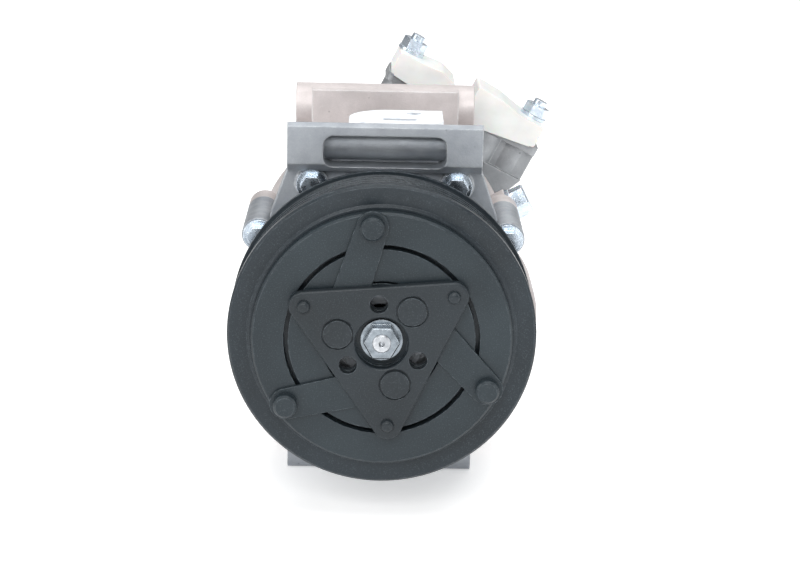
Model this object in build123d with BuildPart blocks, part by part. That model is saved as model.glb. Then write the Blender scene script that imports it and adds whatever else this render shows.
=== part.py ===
from build123d import *
from math import cos, radians, sin
import os

# Automotive air-conditioning compressor with an electromagnetic clutch.
# Millimetres. The shaft lies along Y, the clutch faces -Y and +Z is up.
# The origin is on the shaft axis at the front face of the pulley.

os.makedirs("parts", exist_ok=True)

# ---- fits and gaps ----
RUN = 0.05  # radial clearance of a running fit
SEAT = 0.02  # radial clearance of a seated piece
PISTON_RUN = 0.1  # radial clearance of a piston, which also takes up the nutation

# ---- pulley and its bearing ----
PULLEY_R = 60.0
PULLEY_LENGTH = 27.0
RIB_COUNT = 6
RIB_PITCH = 3.56
RIB_TIP_R = PULLEY_R - 1.4
RIB_DEPTH = 3.0
RIM_WALL = 4.5  # metal left below the rib roots
WEB_THICKNESS = 5.5  # friction face of the pulley
FACE_DISH = 0.6
BEARING_BORE_R = 17.5
BEARING_R = 27.5
BEARING_FRONT = 3.0
BEARING_LENGTH = 20.0
BEARING_RACE = 3.0
BALL_R = 2.6
BALLS_PER_ROW = 16
HUB_WALL = 4.2  # pulley tube round the bearing
SLOT_WIDTH = 1.8
BRIDGE_WIDTH = 7.0  # metal left between two slots of a ring

# ---- armature, springs and hub ----
AIR_GAP = 0.5
ARMATURE_R = 50.4
ARMATURE_HOLE_R = 23.5
ARMATURE_THICKNESS = 4.5
ARMATURE_SLOT_R = 37.0
LEAF_THICKNESS = 0.46
LEAF_PITCH = 0.5
LEAF_COUNT = 3
LEAF_OUTER_R = 6.2  # half width at the armature rivet
LEAF_INNER_R = 7.2  # half width at the hub rivet
OUTER_RIVET_R = 45.2
OUTER_RIVET_ANGLE = 95.4
INNER_RIVET_R = 17.3
INNER_RIVET_ANGLE = 168.4
STOP_R = 33.2
STOP_ANGLE = 34.8
PULLER_R = 15.6
PULLER_ANGLE = 94.7
PULLER_HOLE_R = 3.5
HUB_PLATE_THICKNESS = 3.0
HUB_PLATE_CORNER_R = 5.8
HUB_FLANGE_R = 22.7
HUB_FLANGE_THICKNESS = 3.5
HUB_TUBE_R = 9.5
HUB_TUBE_BACK = 8.0
RECESS_R = 10.2
RECESS_FLOOR = -3.5
NUT_FLATS = 12.3
RIVET_SHANK_R = 2.5

# ---- shaft ----
SHAFT_R = 8.0
STUB_R = 6.0
THREAD_R = 3.6
SHAFT_TIP = -10.4
SHAFT_END = 131.0
SHAFT_REAR_R = 7.0

# ---- clutch coil ----
COIL_IN_R = BEARING_R + HUB_WALL + 0.9
COIL_OUT_R = 47.4
COIL_FRONT = 6.6
COIL_BACK = 27.5
COIL_WALL = 1.6
COIL_SEAT_R = 22.4

# ---- housings ----
CASE_R = 56.0
NOSE_FRONT = 0.5
NOSE_BORE_R = 13.0
NOSE_ROOT_R = 26.0
PLATE_FRONT = 30.0  # front wall of the front housing behind the pulley
CAVITY_R = 47.0
CAVITY_FRONT = 40.0
HOUSING_JOINT = 80.0
CYLINDER_FRONT = 105.0
DECK = 138.0
HEAD_BACK = 186.0
HEAD_R = 51.0

# ---- case bolts ----
BOLT_CIRCLE_R = 58.0
BOLT_ANGLES = (30, 60, 120, 150, 210, 240, 300, 330)
BOLT_R = 3.0
BOLT_HOLE_R = 3.3
BOLT_FLANGE_R = 6.2
BOLT_HEAD = 6.0
BOSS_R = 6.8
FRONT_BOLT_SEAT = 42.0
FRONT_BOLT_TIP = 90.0
BOSS_OVERRUN = 1.5  # metal left beyond the tip of a case bolt
REAR_BOLT_SEAT = 181.0
REAR_BOLT_TIP = 119.0
REAR_BOLT_CIRCLE_R = 44.5
REAR_BOLT_ANGLES = (66, 126, 198, 270, 342)  # between the bores, the first clear of the suction port
SPOT_GAP = 0.8  # spot face round a bolt flange

# ---- mounting ears ----
EAR_LENGTH = 77.4
EAR_Z = 67.0
EAR_R = 10.5
TOP_EAR_R = 9.3
FRONT_TUBE_R = 7.5  # metal round the bore of the top front ear
EAR_HOLE_R = 4.25
FRONT_EAR_Y = 46.0
FRONT_EAR_FACE = 34.0
LOW_EAR_Y = 69.0
REAR_EAR_Y = 125.0
POCKET_LENGTH = 48.8
POCKET_HEIGHT = 12.8
POCKET_LOW = 58.8
POCKET_DEPTH = 13.0
POCKET_TUBE_R = 7.0

# ---- pumping gear ----
CYLINDERS = 5
BORE_R = 14.5
BORE_CIRCLE_R = 32.0
FIRST_CYLINDER = 90.0
TILT = 5.0  # lean of the wobble plate at its smallest stroke, in degrees
WOBBLE_Y = 70.0
PLATE_HALF = 5.0
PLATE_R = 40.5
PLATE_BORE_R = 17.0
ROD_BALL_R = 6.5
ROD_R = 3.2
PISTON_BALL_R = 5.5
PISTON_LENGTH = 29.0
PISTON_WALL = 2.4
CROWN = 5.0
TOP_GAP = 0.5
PIN_BALL_R = 2.8
PIN_BALL_CIRCLE_R = 42.6
GUIDE_GAP = 0.2
ROTOR_FRONT = 43.0
ROTOR_THICKNESS = 7.0
ROTOR_R = 38.0

# ---- valve stack ----
GASKET = 0.5
REED = 0.5
VALVE_PLATE = 3.0
SUCTION_R = 39.0
DISCHARGE_R = 23.0

# ---- port tower ----
TOWER_LEAN = 27.0
PAD_OFFSET = 69.5  # pad face to shaft axis, along the leaning normal
PAD_LEFT = -33.5
PAD_RIGHT = 43.2
PAD_WIDTH = 26.0
TOWER_Y = 167.0
DISCHARGE_PORT_T = -14.0
DISCHARGE_PORT_R = 6.0
SUCTION_PORT_T = 17.5
SUCTION_PORT_R = 8.5
STUD_LEFT_T = -28.1
STUD_RIGHT_T = 35.3
STUD_R = 3.0
CAP_THICKNESS = 10.2
CAP_LIP = 5.0
CAP_RISE = 2.8  # crown of the suction cap over its port
CAP_GAP = 0.3

# ---- worked-out sizes ----
RIM_INNER_R = RIB_TIP_R - RIB_DEPTH - RIM_WALL - 2.8
BEARING_BACK = BEARING_FRONT + BEARING_LENGTH
BALL_CIRCLE_R = (BEARING_BORE_R + BEARING_R) / 2
HUB_OUTER_R = BEARING_R + HUB_WALL
ARMATURE_FRONT = -AIR_GAP - ARMATURE_THICKNESS
SPRING_STACK = LEAF_COUNT * LEAF_PITCH
HUB_PLATE_BACK = ARMATURE_FRONT - SPRING_STACK
HUB_PLATE_FRONT = HUB_PLATE_BACK - HUB_PLATE_THICKNESS
HUB_FLANGE_BACK = ARMATURE_FRONT + HUB_FLANGE_THICKNESS
SOCKET_CIRCLE_R = 2 * BORE_CIRCLE_R / (1 + cos(radians(TILT)))
PISTON_R = BORE_R - PISTON_RUN
PISTON_TOP = DECK - TOP_GAP - SOCKET_CIRCLE_R * sin(radians(TILT))
PISTON_BALL_Y = PISTON_TOP - CROWN - PISTON_BALL_R - 1.5
HEAD_FRONT = DECK + GASKET + REED + VALVE_PLATE + REED + GASKET
CYLINDER_ANGLES = [FIRST_CYLINDER + k * 360 / CYLINDERS for k in range(CYLINDERS)]
WOBBLE_PLANE = Plane(
    origin=(0, WOBBLE_Y, 0),
    x_dir=(1, 0, 0),
    z_dir=(0, -cos(radians(TILT)), sin(radians(TILT))),
)
LEAN = radians(TOWER_LEAN)
UP = Vector(sin(LEAN), 0, cos(LEAN))  # outward normal of the port pad
ALONG = Vector(cos(LEAN), 0, -sin(LEAN))  # down the slope of the port pad


def across(y):
    """Plane square to the shaft, seen from the front: local x is +X and local y is +Z."""
    return Plane(origin=(0, y, 0), x_dir=(1, 0, 0), z_dir=(0, -1, 0))


def polar(radius, angle):
    """Point at a radius and an angle in degrees on a plane across the shaft."""
    return (radius * cos(radians(angle)), radius * sin(radians(angle)))


def ring_of(radius, first, count):
    """Evenly spaced points round the shaft."""
    return [polar(radius, first + k * 360 / count) for k in range(count)]


def band(inner, outer, front, back):
    """Rectangle of a half section, from one radius to another and from front to back."""
    with Locations(((inner + outer) / 2, (front + back) / 2)):
        Rectangle(outer - inner, back - front)


def pad_plane(t, n, y=TOWER_Y):
    """Plane parallel to the port pad, t down its slope and n from the shaft axis."""
    return Plane(origin=ALONG * t + UP * n + Vector(0, y, 0), x_dir=tuple(ALONG), z_dir=tuple(UP))


def ring_slots(radius, first, count):
    """A ring of slots round the shaft, parted by evenly spaced bridges."""
    Circle(radius + SLOT_WIDTH / 2)
    Circle(radius - SLOT_WIDTH / 2, mode=Mode.SUBTRACT)
    for k in range(count):
        angle = first + k * 360 / count
        with Locations(Location((*polar(radius, angle), 0), (0, 0, 1), angle)):
            Rectangle(2 * SLOT_WIDTH, BRIDGE_WIDTH, mode=Mode.SUBTRACT)


def save(piece, name):
    """Label a finished piece and write it to its own file."""
    piece.part.label = name
    export_step(piece.part, f"parts/{name}.step")


# ======================= front housing =======================
EAR_HALF = EAR_LENGTH / 2
FRONT_EAR_TOP = 76.7
GUSSET_FRONT = 44.0
RAIL_HALF = 7.0
RAIL_FRONT = 59.0
RAIL_FLOOR = 50.0
SEAL_FRONT = 9.0
SEAL_BACK = 21.0
FRONT_BEARING_R = 11.5
FRONT_BEARING_FRONT = 24.0
FRONT_BEARING_BACK = 38.0
SNAP_GROOVE_Y = 1.3
SNAP_THICKNESS = 1.5
COIL_SNAP_Y = COIL_BACK - COIL_WALL - SNAP_THICKNESS
GUSSET_TOP_HALF = EAR_HALF - 1.5
BRACKET_SEAT = CASE_R + 2.0
BRACKET_X = 8.0
BRACKET_LEG_Y = 61.0
SCREW_Y = BRACKET_LEG_Y + 8.5
SCREW_R = 2.0
SCREW_DEPTH = 6.0
LEAD_CIRCLE_R = 43.0
LEAD_ANGLE = 45.0
LEAD_R = 3.5
LEAD_BACK = 37.0

with BuildPart() as front_housing:
    with BuildSketch(Plane.XY):
        band(NOSE_BORE_R, BEARING_BORE_R - SEAT, NOSE_FRONT, BEARING_BACK)
        band(NOSE_BORE_R, COIL_SEAT_R - SEAT, BEARING_BACK, COIL_BACK)
        band(NOSE_BORE_R, NOSE_ROOT_R, COIL_BACK, CAVITY_FRONT)
        with BuildLine():
            Polyline(
                (FRONT_BEARING_R, PLATE_FRONT),
                (CASE_R - 7, PLATE_FRONT),
                (CASE_R, PLATE_FRONT + 8),
                (CASE_R, HOUSING_JOINT),
                (CAVITY_R, HOUSING_JOINT),
                (CAVITY_R, CAVITY_FRONT),
                (FRONT_BEARING_R, CAVITY_FRONT),
                close=True,
            )
        make_face()
    revolve(axis=Axis.Y)
    # bolt bosses along the case
    with BuildSketch(across(HOUSING_JOINT)):
        for angle in BOLT_ANGLES:
            with Locations(polar(BOLT_CIRCLE_R, angle)):
                Circle(BOSS_R)
        Circle(CAVITY_R + 1, mode=Mode.SUBTRACT)
    extrude(amount=HOUSING_JOINT - FRONT_BOLT_SEAT)
    # top ear: a block with a flat front face, rounded above, on flared gussets
    with BuildSketch(Plane.YZ.offset(-EAR_HALF)):
        with Locations((FRONT_EAR_Y, EAR_Z)):
            Circle(FRONT_TUBE_R)
        with BuildLine():
            Polyline(
                (FRONT_EAR_FACE, EAR_Z - EAR_R + 3.5),
                (FRONT_EAR_FACE, FRONT_EAR_TOP - 1.5),
                (FRONT_EAR_FACE + 1.5, FRONT_EAR_TOP),
                (FRONT_EAR_Y + 2, FRONT_EAR_TOP - 3.3),
                (FRONT_EAR_Y + EAR_R, EAR_Z),
                (FRONT_EAR_Y + EAR_R, EAR_Z - EAR_R),
                (FRONT_EAR_FACE + 4, EAR_Z - EAR_R),
                close=True,
            )
        make_face()
    extrude(amount=EAR_LENGTH)
    with BuildSketch(across(FRONT_EAR_Y + EAR_R)):
        with BuildLine():
            Polyline(
                (-GUSSET_TOP_HALF, EAR_Z - 6),
                (GUSSET_TOP_HALF, EAR_Z - 6),
                (46, 36),
                (40, 30),
                (-40, 30),
                (-46, 36),
                close=True,
            )
        make_face()
    extrude(amount=FRONT_EAR_Y + EAR_R - GUSSET_FRONT)
    # low ear and its web
    with BuildSketch(Plane.YZ.offset(-EAR_HALF)):
        with Locations((LOW_EAR_Y, -EAR_Z)):
            RectangleRounded(2 * EAR_R, 2 * EAR_R, 4)
    extrude(amount=EAR_LENGTH)
    with BuildSketch(across(HOUSING_JOINT)):
        with BuildLine():
            Polyline((-33, -60), (33, -60), (46, -34), (-46, -34), close=True)
        make_face()
    extrude(amount=HOUSING_JOINT - LOW_EAR_Y + EAR_R)
    # boss under the connector bracket
    with BuildSketch(Plane.XY.offset(CAVITY_R + 2)):
        with Locations((BRACKET_X, BRACKET_LEG_Y + 7.5)):
            RectangleRounded(15, 15, 2)
    extrude(amount=BRACKET_SEAT - CAVITY_R - 2)
    # pocket in the top ear, with the bolt tube left standing in it
    with BuildSketch(across(FRONT_EAR_FACE + POCKET_DEPTH)):
        with Locations((0, POCKET_LOW + POCKET_HEIGHT / 2)):
            RectangleRounded(POCKET_LENGTH, POCKET_HEIGHT, 4)
    extrude(amount=POCKET_DEPTH + 1, mode=Mode.SUBTRACT)
    with BuildSketch(Plane.YZ.offset(-POCKET_LENGTH / 2 - 1)):
        with Locations((FRONT_EAR_Y, EAR_Z)):
            Circle(POCKET_TUBE_R)
    extrude(amount=POCKET_LENGTH + 2)
    # cavity, kept clear of the bosses and webs
    with BuildSketch(across(HOUSING_JOINT)):
        Circle(CAVITY_R)
    extrude(amount=HOUSING_JOINT - CAVITY_FRONT, mode=Mode.SUBTRACT)
    # guide rail slot at the bottom of the cavity
    with Locations((0, (RAIL_FRONT + HOUSING_JOINT) / 2, -(RAIL_FLOOR + 40) / 2)):
        Box(2 * RAIL_HALF, HOUSING_JOINT - RAIL_FRONT, RAIL_FLOOR - 40, mode=Mode.SUBTRACT)
    # bracket screw hole
    with BuildSketch(Plane.XY.offset(BRACKET_SEAT - SCREW_DEPTH - 1)):
        with Locations((BRACKET_X, SCREW_Y)):
            Circle(SCREW_R + SEAT)
    extrude(amount=SCREW_DEPTH + 2, mode=Mode.SUBTRACT)
    # coil lead hole through the front wall
    with BuildSketch(across(LEAD_BACK)):
        with Locations(polar(LEAD_CIRCLE_R, LEAD_ANGLE)):
            Circle(LEAD_R + RUN)
    extrude(amount=LEAD_BACK - PLATE_FRONT + 1, mode=Mode.SUBTRACT)
    # ear bores
    with BuildSketch(Plane.YZ.offset(-EAR_HALF - 1)):
        with Locations((FRONT_EAR_Y, EAR_Z), (LOW_EAR_Y, -EAR_Z)):
            Circle(EAR_HOLE_R)
    extrude(amount=EAR_LENGTH + 2, mode=Mode.SUBTRACT)
    # case bolt holes and spot faces
    with BuildSketch(across(HOUSING_JOINT)):
        for angle in BOLT_ANGLES:
            with Locations(polar(BOLT_CIRCLE_R, angle)):
                Circle(BOLT_HOLE_R)
    extrude(amount=HOUSING_JOINT - PLATE_FRONT + 4, mode=Mode.SUBTRACT)
    with BuildSketch(across(FRONT_BOLT_SEAT)):
        for angle in BOLT_ANGLES:
            with Locations(polar(BOLT_CIRCLE_R, angle)):
                Circle(BOLT_FLANGE_R + SPOT_GAP)
    extrude(amount=FRONT_BOLT_SEAT - FRONT_EAR_FACE + 1, mode=Mode.SUBTRACT)
    # seal seat, bearing seat and snap ring grooves
    with BuildSketch(Plane.XY):
        band(0, FRONT_BEARING_R, FRONT_BEARING_FRONT, CAVITY_FRONT)
        band(NOSE_BORE_R - 2, NOSE_BORE_R + 1.2, SEAL_FRONT - 1.6, SEAL_FRONT)
        band(BEARING_BORE_R - 1.2, BEARING_BORE_R + 1, SNAP_GROOVE_Y, SNAP_GROOVE_Y + SNAP_THICKNESS)
        band(COIL_SEAT_R - 1.4, COIL_SEAT_R + 1, COIL_SNAP_Y, COIL_SNAP_Y + SNAP_THICKNESS)
    revolve(axis=Axis.Y, mode=Mode.SUBTRACT)
save(front_housing, "front_housing")

# ======================= joint seal =======================
JOINT_SEAL_R = 50.0
JOINT_SEAL_WIRE = 1.2

with BuildPart() as joint_seal_ring:
    with BuildSketch(Plane.XY):
        with Locations((JOINT_SEAL_R, HOUSING_JOINT + JOINT_SEAL_WIRE)):
            Circle(JOINT_SEAL_WIRE)
    revolve(axis=Axis.Y)
save(joint_seal_ring, "joint_seal_ring")

# ======================= cylinder block =======================
WEB_TOP_HALF = 31.5  # half width of the web between the end collars of the rear ear
BULGE_X = 34.5
BULGE_Z = -15.0
BULGE_R = 32.0
BULGE_FRONT = 84.0
BULGE_BACK = 111.0
PLUG_ANGLE = 28.0
PLUG_Y = 99.0
PLUG_SEAT_R = 62.0
PLUG_THREAD_R = 5.0
PLUG_BOSS_R = 8.0
PLUG_FLANGE_R = 7.2
PLUG_FLANGE = 1.6
PLUG_FLATS = 12.0
PLUG_HEAD = 6.4
PLUG_DEPTH = 12.0
REAR_BEARING_R = 11.0
REAR_BEARING_FRONT = 113.0
REAR_BEARING_BACK = 127.0
PLUG_PLANE = Plane(
    origin=(0, PLUG_Y, 0),
    x_dir=(0, 1, 0),
    z_dir=(cos(radians(PLUG_ANGLE)), 0, sin(radians(PLUG_ANGLE))),
)

REAR_BOLT_POINTS = [polar(REAR_BOLT_CIRCLE_R, angle) for angle in REAR_BOLT_ANGLES]

with BuildPart() as cylinder_block:
    with BuildSketch(across(DECK)):
        Circle(CASE_R)
    extrude(amount=DECK - HOUSING_JOINT)
    with BuildSketch(across(FRONT_BOLT_TIP + BOSS_OVERRUN)):
        Circle(CASE_R)
        for angle in BOLT_ANGLES:
            with Locations(polar(BOLT_CIRCLE_R, angle)):
                Circle(BOSS_R)
    extrude(amount=FRONT_BOLT_TIP + BOSS_OVERRUN - HOUSING_JOINT)
    # cast bulge on the right
    with BuildSketch(across(BULGE_BACK)):
        with Locations((BULGE_X, BULGE_Z)):
            Circle(BULGE_R)
    extrude(amount=BULGE_BACK - BULGE_FRONT)
    # oil plug boss
    with BuildSketch(PLUG_PLANE.offset(CAVITY_R + 1)):
        Circle(PLUG_BOSS_R)
    extrude(amount=PLUG_SEAT_R - CAVITY_R - 1)
    # rear ears, top and bottom: collared tubes on a flat web
    with BuildSketch(Plane.YZ.offset(-EAR_HALF)):
        with Locations((REAR_EAR_Y, EAR_Z)):
            Circle(TOP_EAR_R)
        with Locations((REAR_EAR_Y, -EAR_Z)):
            RectangleRounded(2 * EAR_R, 2 * EAR_R, 4)
    extrude(amount=EAR_LENGTH)
    with BuildSketch(across(REAR_EAR_Y + 8)):
        with BuildLine():
            Polyline(
                (-WEB_TOP_HALF, EAR_Z + TOP_EAR_R - 1.3),
                (WEB_TOP_HALF, EAR_Z + TOP_EAR_R - 1.3),
                (WEB_TOP_HALF, EAR_Z - 9),
                (40, 30),
                (-40, 30),
                (-WEB_TOP_HALF, EAR_Z - 9),
                close=True,
            )
        make_face()
        with BuildLine():
            Polyline((-32.5, -EAR_Z), (32.5, -EAR_Z), (40, -30), (-40, -30), close=True)
        make_face()
    extrude(amount=17.5)
    # crankcase cavity
    with BuildSketch(across(CYLINDER_FRONT)):
        Circle(CAVITY_R)
    extrude(amount=CYLINDER_FRONT - HOUSING_JOINT, mode=Mode.SUBTRACT)
    # cylinder bores and centre bore
    with BuildSketch(across(DECK)):
        for angle in CYLINDER_ANGLES:
            with Locations(polar(BORE_CIRCLE_R, angle)):
                Circle(BORE_R)
        Circle(SHAFT_REAR_R + 1)
    extrude(amount=DECK - CYLINDER_FRONT, mode=Mode.SUBTRACT)
    with BuildSketch(across(REAR_BEARING_BACK)):
        Circle(REAR_BEARING_R)
    extrude(amount=REAR_BEARING_BACK - CYLINDER_FRONT, mode=Mode.SUBTRACT)
    # ear bores
    with BuildSketch(Plane.YZ.offset(-EAR_HALF - 1)):
        with Locations((REAR_EAR_Y, EAR_Z), (REAR_EAR_Y, -EAR_Z)):
            Circle(EAR_HOLE_R)
    extrude(amount=EAR_LENGTH + 2, mode=Mode.SUBTRACT)
    # threads for the two sets of case bolts
    with BuildSketch(across(FRONT_BOLT_TIP + 1)):
        for angle in BOLT_ANGLES:
            with Locations(polar(BOLT_CIRCLE_R, angle)):
                Circle(BOLT_R + SEAT)
    extrude(amount=FRONT_BOLT_TIP + 1 - HOUSING_JOINT, mode=Mode.SUBTRACT)
    with BuildSketch(across(DECK)):
        with Locations(*REAR_BOLT_POINTS):
            Circle(BOLT_R + SEAT)
    extrude(amount=DECK - REAR_BOLT_TIP + 1, mode=Mode.SUBTRACT)
    # oil plug hole
    with BuildSketch(PLUG_PLANE.offset(CAVITY_R - 4)):
        Circle(PLUG_THREAD_R + SEAT)
    extrude(amount=PLUG_SEAT_R - CAVITY_R + 5, mode=Mode.SUBTRACT)
    # seal groove in the joint face
    with BuildSketch(Plane.XY):
        band(
            JOINT_SEAL_R - JOINT_SEAL_WIRE - 0.2,
            JOINT_SEAL_R + JOINT_SEAL_WIRE + 0.2,
            HOUSING_JOINT,
            HOUSING_JOINT + 2 * JOINT_SEAL_WIRE,
        )
    revolve(axis=Axis.Y, mode=Mode.SUBTRACT)
save(cylinder_block, "cylinder_block")

with BuildPart() as oil_plug:
    with BuildSketch(PLUG_PLANE.offset(PLUG_SEAT_R - PLUG_DEPTH)):
        Circle(PLUG_THREAD_R)
    extrude(amount=PLUG_DEPTH)
    with BuildSketch(PLUG_PLANE.offset(PLUG_SEAT_R)):
        Circle(PLUG_FLANGE_R)
    extrude(amount=PLUG_FLANGE)
    with BuildSketch(PLUG_PLANE.offset(PLUG_SEAT_R + PLUG_FLANGE)):
        RegularPolygon(PLUG_FLATS / 2, 6, major_radius=False)
    extrude(amount=PLUG_HEAD)
    chamfer(oil_plug.faces().sort_by(Axis((0, 0, 0), tuple(PLUG_PLANE.z_dir)))[-1].edges(), 0.6)
save(oil_plug, "oil_plug")

# ======================= gaskets, reeds and valve plate =======================
SUCTION_REED_FRONT = DECK + GASKET
VALVE_FRONT = SUCTION_REED_FRONT + REED
DISCHARGE_REED_FRONT = VALVE_FRONT + VALVE_PLATE
STOP_FRONT = DISCHARGE_REED_FRONT + REED
STACK_R = HEAD_R - 0.5
PAD_R = 6.2  # gasket and head metal left round a head bolt
SUCTION_HOLE_R = 3.2
DISCHARGE_HOLE_R = 2.6
REED_HALF_WIDTH = 4.6
REED_SLIT = 0.9
CHAMBER_IN_R = 30.0
CHAMBER_OUT_R = 44.5
CENTRE_CHAMBER_R = 27.0


def stack_outline():
    """Outline of a sheet of the valve stack, with its head bolt holes."""
    Circle(STACK_R)
    with Locations(*REAR_BOLT_POINTS):
        Circle(BOLT_HOLE_R, mode=Mode.SUBTRACT)


def reed_slit(root, tip, angle):
    """Slit round a reed that is rooted at one radius and has its round tip at another."""
    middle = (root + tip) / 2
    length = abs(tip - root)
    with Locations(Location((*polar(middle, angle), 0), (0, 0, 1), angle)):
        SlotCenterToCenter(length, 2 * (REED_HALF_WIDTH + REED_SLIT), mode=Mode.SUBTRACT)
    with Locations(Location((*polar(middle, angle), 0), (0, 0, 1), angle)):
        SlotCenterToCenter(length, 2 * REED_HALF_WIDTH)
    away = 1 if root > tip else -1
    with Locations(Location((*polar(root + away * 1.5, angle), 0), (0, 0, 1), angle)):
        Rectangle(9 + 2 * REED_SLIT, 2 * REED_HALF_WIDTH)


with BuildPart() as head_gaskets:
    with BuildSketch(across(SUCTION_REED_FRONT)):
        stack_outline()
        for angle in CYLINDER_ANGLES:
            with Locations(polar(BORE_CIRCLE_R, angle)):
                Circle(BORE_R, mode=Mode.SUBTRACT)
        Circle(SHAFT_REAR_R + 1, mode=Mode.SUBTRACT)
    extrude(amount=GASKET)
    with BuildSketch(across(HEAD_FRONT)):
        stack_outline()
        Circle(CHAMBER_OUT_R, mode=Mode.SUBTRACT)
        for angle in CYLINDER_ANGLES:
            with Locations(Location((*polar(CHAMBER_OUT_R - 7, angle + 36), 0), (0, 0, 1), angle + 36)):
                Rectangle(18, 3)
        Circle(CHAMBER_IN_R)
        Circle(CENTRE_CHAMBER_R, mode=Mode.SUBTRACT)
        with Locations(*REAR_BOLT_POINTS):
            Circle(PAD_R)
            Circle(BOLT_HOLE_R, mode=Mode.SUBTRACT)
    extrude(amount=HEAD_FRONT - STOP_FRONT)
save(head_gaskets, "head_gaskets")

with BuildPart() as suction_reeds:
    with BuildSketch(across(VALVE_FRONT)):
        stack_outline()
        for angle in CYLINDER_ANGLES:
            reed_slit(CHAMBER_IN_R - 6, SUCTION_R, angle)
        for x, z in ring_of(DISCHARGE_R, FIRST_CYLINDER, CYLINDERS):
            with Locations((x, z)):
                Circle(DISCHARGE_HOLE_R, mode=Mode.SUBTRACT)
    extrude(amount=REED)
save(suction_reeds, "suction_reeds")

with BuildPart() as valve_plate:
    with BuildSketch(across(DISCHARGE_REED_FRONT)):
        stack_outline()
        with Locations(*ring_of(SUCTION_R, FIRST_CYLINDER, CYLINDERS)):
            Circle(SUCTION_HOLE_R, mode=Mode.SUBTRACT)
        with Locations(*ring_of(DISCHARGE_R, FIRST_CYLINDER, CYLINDERS)):
            Circle(DISCHARGE_HOLE_R, mode=Mode.SUBTRACT)
    extrude(amount=VALVE_PLATE)
save(valve_plate, "valve_plate")

with BuildPart() as discharge_reeds:
    with BuildSketch(across(STOP_FRONT)):
        stack_outline()
        with Locations(*ring_of(SUCTION_R, FIRST_CYLINDER, CYLINDERS)):
            Circle(SUCTION_HOLE_R, mode=Mode.SUBTRACT)
        Circle(CENTRE_CHAMBER_R, mode=Mode.SUBTRACT)
        Circle(7)
        for angle in CYLINDER_ANGLES:
            with Locations(Location((*polar(DISCHARGE_R / 2 + 1, angle), 0), (0, 0, 1), angle)):
                SlotCenterToCenter(DISCHARGE_R - 2, 2 * REED_HALF_WIDTH - 1.5)
    extrude(amount=REED)
save(discharge_reeds, "discharge_reeds")

# ======================= rear head with the port tower =======================
RING_CHAMBER_BACK = 159.5
CENTRE_CHAMBER_BACK = 178.0
TOWER_FOOT = 30.0
STUD_BOSS_FOOT = 52.7
FOOT_T = 39.0
FOOT_N = 42.5
PAD_LIP = 4.0
STUD_BOSS_R = 9.5
TOWER_WEB_FRONT = 158.5
TOWER_WEB_BACK = 176.0
TOWER_FOOT_FRONT = 156.0
TOWER_SIDE = Plane(origin=(0, TOWER_Y, 0), x_dir=tuple(ALONG), z_dir=(0, -1, 0))
VALVE_Y = 170.0
VALVE_Z = -27.0
VALVE_R = 8.0
VALVE_MOUTH = -50.0
VALVE_DEPTH = 62.0
POCKET_X = 2.0
POCKET_Z = 14.0
POCKET_R = 15.0
RELIEF_X = 6.0
RELIEF_Z = 16.0
RELIEF_R = 5.0
SUCTION_SEAT = 44.0
DISCHARGE_SEAT = 34.0
SUCTION_PASSAGE_R = 7.0
MOUTH_DEPTH = 3.6
MOUTH_STEP = 1.0
DISCHARGE_PASSAGE_R = 4.5

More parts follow.
